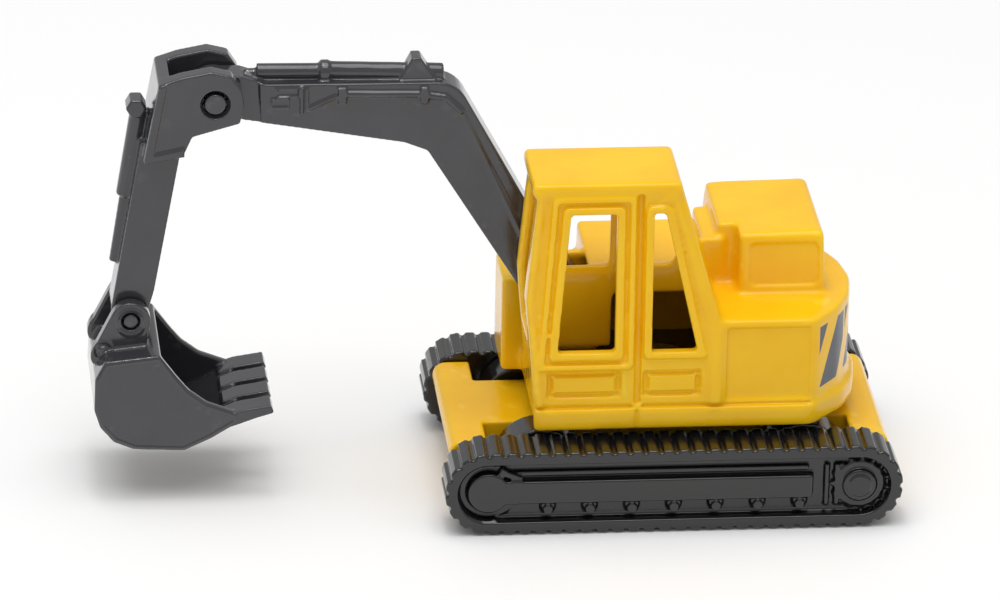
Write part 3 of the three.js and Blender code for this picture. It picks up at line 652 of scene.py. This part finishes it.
def makeWheel(end, node):
    look = wheelLook
    low, high = span(node)
    pitch = (high.y - low.y) / (look["rings"] + 1)
    radius = (high.z - low.z) / 2
    clear = 0.5  # how far the cut reaches past the tread
    cuts = []
    for i in range(look["rings"]):
        y = low.y + (i + 1) * pitch
        a, b = y - look["ringHalf"], y + look["ringHalf"]
        cuts.append(disc(radius + clear, (low.x + high.x) / 2, radius, a, b, ring=look["ringDepth"] + clear))
    wheel = cast(node + "_moulding", nodeCopy(node), cuts, [], look)
    place(wheel, end + "_wheels", "black_plastic", trackPlastic, node)


def makePlate(body, node):
    made = cast(node + "_moulding", nodeCopy(node), [], [], plateLook)
    place(made, body, "black_plastic", trackPlastic, node)


for end in ("front", "rear"):
    for hand in ("left", "right"):
        makeWheel(end, end + "_" + hand + "_wheel")
makePlate("undercarriage", "base_plate")
makePlate("house", "floor_plate")
print("wheels and plates made")

# ---- arm ----
armLook = {
    "grain": 0.14,
    "round": 7,
    "soft": 2,
    "keep": 0.45,
    "low": -3.95,  # the boom's two sides and its middle, along Y
    "high": 0.45,
    "middle": -1.75,
    "earLow": -6.45,  # outer faces of the stick's head
    "earHigh": 2.95,
    "bucketLow": -9.75,  # sides of the bucket
    "bucketHigh": 6.25,
    "lugLow": -6.35,  # outer faces of its lugs
    "lugHigh": 2.85,
    "teeth": 4,
    "tooth": 3.15,
    "hose": 0.4,
    "hoseSunk": 0.24,
    "hoseBend": 28,  # the hose is sunk below this height
    "pipe": 0.25,
}


def makeBoom():
    look = armLook
    low, high, middle = look["low"], look["high"], look["middle"]
    adds, cuts = [], []
    hose = [(28.4, 30.2), (19.4, 30), (16.3, 29.5), (14.4, 27.6), (9.9, 18.1), (6.2, 10)]
    for side, face in ((1, high), (-1, low)):
        a, b = sorted((face - side * 0.5, face + side * 0.4))
        for start, end in zip(hose, hose[1:]):
            # the cab's wall passes close to its lower end when the boom is up
            sunk = look["hoseSunk"] if start[1] < look["hoseBend"] else 0
            adds.append(rod(look["hose"], start, end, face - side * sunk, boomPin))
        for x, z in ((28.6, 30.1), (18.9, 30)):
            adds.append(plate(rect(x - 0.45, x + 0.45, z - 1.1, z + 0.8), a, b, boomPin))
        # valve block and its pipes
        adds.append(plate(rect(34.9, 37, 28.6, 29.7), a, b, boomPin, ring=0.35))
        adds.append(plate(rect(33.8, 36.4, 30, 31), a, b, boomPin, ring=0.35))
        adds.append(plate(rect(33.2, 33.6, 27.9, 31.2), a, b, boomPin))
        adds.append(rod(look["pipe"], (32.8, 31), (32.8, 28.2), face, boomPin))
        adds.append(rod(look["pipe"], (32.8, 28.3), (29.3, 29.9), face, boomPin))
        # the boom is thinner ahead of the valve block
        a, b = sorted((face - side * 0.3, face + side * 1))
        ahead = [(38, 24), (45, 25), (45, 36), (38.6, 36)]
        cuts.append(plate(ahead, a, b, boomPin))
    # the moulded cylinder's barrel and collar, and the bracket behind it
    adds.append(rod(0.95, (31, 32.3), (38.6, 32.4), middle, boomPin))
    adds.append(rod(1.35, (30.1, 32.3), (31, 32.3), middle, boomPin))
    bracket = [(17.2, 31), (22, 31), (20.3, 34.2), (19.3, 34.2)]
    adds.append(plate(bracket, middle - 1.3, middle + 1.3, boomPin))
    boom = cast("boom_moulding", nodeCopy("boom"), cuts, adds, look)
    place(boom, "boom", "black_plastic", armPlastic, "boom")


def makeStick():
    look = armLook
    adds, cuts = [], []
    edge = [(3.6, -6.5), (8.4, -7.3), (6.6, 2.4), (5.7, 2.7), (7.3, -6.2), (3.7, -5.4)]
    for side, face in ((1, look["earHigh"]), (-1, look["earLow"])):
        a, b = sorted((face - side * 0.4, face + side * 0.25))
        adds.append(plate(edge, a, b, stickPin))
        a, b = sorted((face - side * 0.45, face + side * 1))
        cuts.append(disc(1.75, 0, 0, a, b, stickPin))
    adds.append(disc(1.25, 9.1, -1.7, -3.2, -0.3, stickPin, segments=6))
    stick = cast("stick_moulding", nodeCopy("stick"), cuts, adds, look)
    place(stick, "stick", "black_plastic", armPlastic, "stick")


def makeBucket():
    look = armLook
    adds, cuts = [], []
    cheek = [(-3.2, -3.4), (3.0, -4.1), (4.0, -6.2), (4.1, -10), (3.4, -12), (1.9, -13.7), (-0.4, -14.7),
             (-6.1, -15), (-9.2, -13.5), (-12.2, -11.6), (-12.2, -10.9), (-8.7, -9.6), (-6.5, -8),
             (-5, -6.1)]
    for side, face in ((1, look["bucketHigh"]), (-1, look["bucketLow"])):
        a, b = sorted((face - side * 0.5, face + side * 0.25))
        adds.append(plate(cheek, a, b, bucketPin, ring=0.6))
    for side, face in ((1, look["lugHigh"]), (-1, look["lugLow"])):
        a, b = sorted((face - side * 0.4, face + side * 0.3))
        adds.append(disc(1.65, 0, 0, a, b, bucketPin, ring=0.55))
        adds.append(disc(1.15, 3.3, -3.6, a - 0.15, b + 0.15, bucketPin, ring=0.35))
        adds.append(disc(0.5, 3.3, -3.6, a, b, bucketPin))
    wide = look["bucketHigh"] - look["bucketLow"]
    gap = (wide - look["teeth"] * look["tooth"]) / (look["teeth"] - 1)
    tooth = [(-10.4, -12.9), (-11, -11), (-13, -10.3), (-16.5, -9.75), (-16.85, -10.6), (-13, -12)]
    for i in range(look["teeth"]):
        y = look["bucketLow"] + i * (look["tooth"] + gap)
        adds.append(plate(tooth, y, y + look["tooth"], bucketPin))
        if i < look["teeth"] - 1:
            a = y + look["tooth"]
            cuts.append(plate(rect(-18, -15.2, -14, -8), a, a + gap, bucketPin))
    bucket = cast("bucket_moulding", nodeCopy("bucket"), cuts, adds, look)
    place(bucket, "bucket", "black_plastic", armPlastic, "bucket")


makeBoom()
makeStick()
makeBucket()
pinLook = {"grain": 0.12, "soft": 2, "keep": 0.6}
for node, body in (("stick_pin", "stick"), ("bucket_pin", "bucket")):
    pin = cast(node + "_moulding", nodeCopy(node), [], [], pinLook)
    place(pin, body, "black_plastic", armPlastic, node)
print("arm made")

# the steel pieces keep their meshes
for node in ("base_rivet_front", "base_rivet_rear", "slew_rivet", "slew_washer", "front_axle", "rear_axle",
             "floor_rivet", "boom_pin"):
    for slot in frame["nodes"][node].material_slots:
        slot.material = steel

# ---- floor, lights and camera ----
studio = {
    "floor": (0.93, 0.93, 0.93),
    "floorRough": 0.6,
    "floorHalf": 3,  # metres
    "azimuth": 174,
    "elevation": 23.6,
    "roll": 1.2,
    "distance": 1.0,
    "lens": 302,
    "aim": (19.4, 0, 22.6),  # millimetres from the slew axis
    "lit": (0, 0, 0.02),  # where the lights point, in metres
    "lights": (
        ("top light", (0.05, 0.12, 0.9), (0.85, 0.85), 5.6),
        ("strip light", (0.05, 0.02, 0.75), (0.3, 0.025), 0.6),
        ("left light", (0.7, 0.6, 0.45), (0.35, 0.5), 0.2),
        ("right light", (-0.7, 0.5, 0.45), (0.35, 0.5), 0.1),
    ),
    "world": 0.5,
}


def makeFloor():
    bm = bmesh.new()
    bmesh.ops.create_grid(bm, x_segments=1, y_segments=1, size=studio["floorHalf"])
    mesh = bpy.data.meshes.new("floor")
    bm.to_mesh(mesh)
    bm.free()
    floor = bpy.data.objects.new("floor", mesh)
    floor.location.z = cadLow.z
    bpy.context.scene.collection.objects.link(floor)
    mesh.materials.append(newFinish("pale floor", studio["floor"], studio["floorRough"])[0])


def makeLight(name, where, size, power):
    light = bpy.data.lights.new(name, "AREA")
    light.shape = "RECTANGLE"
    light.size, light.size_y = size
    light.energy = power
    lamp = bpy.data.objects.new(name, light)
    lamp.location = where
    lamp.rotation_euler = (Vector(studio["lit"]) - Vector(where)).to_track_quat("-Z", "Y").to_euler()
    bpy.context.scene.collection.objects.link(lamp)


def makeCamera():
    cam = bpy.data.objects.new("camera", bpy.data.cameras.new("camera"))
    cam.data.lens = studio["lens"]
    a, e = math.radians(studio["azimuth"]), math.radians(studio["elevation"])
    back = Vector((math.sin(a) * math.cos(e), -math.cos(a) * math.cos(e), math.sin(e)))
    cam.location = slew + Vector(studio["aim"]) * mm + back * studio["distance"]
    level = (-back).to_track_quat("-Z", "Y").to_matrix()
    turn = level @ Matrix.Rotation(math.radians(studio["roll"]), 3, "Z")
    cam.rotation_euler = turn.to_euler()
    cam.data.clip_start = 0.01
    bpy.context.scene.collection.objects.link(cam)
    bpy.context.scene.camera = cam


bpy.context.scene.view_settings.view_transform = "Standard"
makeFloor()
for name, where, size, power in studio["lights"]:
    makeLight(name, where, size, power)
world = bpy.data.worlds.new("studio")
world.use_nodes = True
sky = world.node_tree.nodes["Background"]
sky.inputs["Color"].default_value = (1, 1, 1, 1)
sky.inputs["Strength"].default_value = studio["world"]
bpy.context.scene.world = world
makeCamera()
print("studio made")
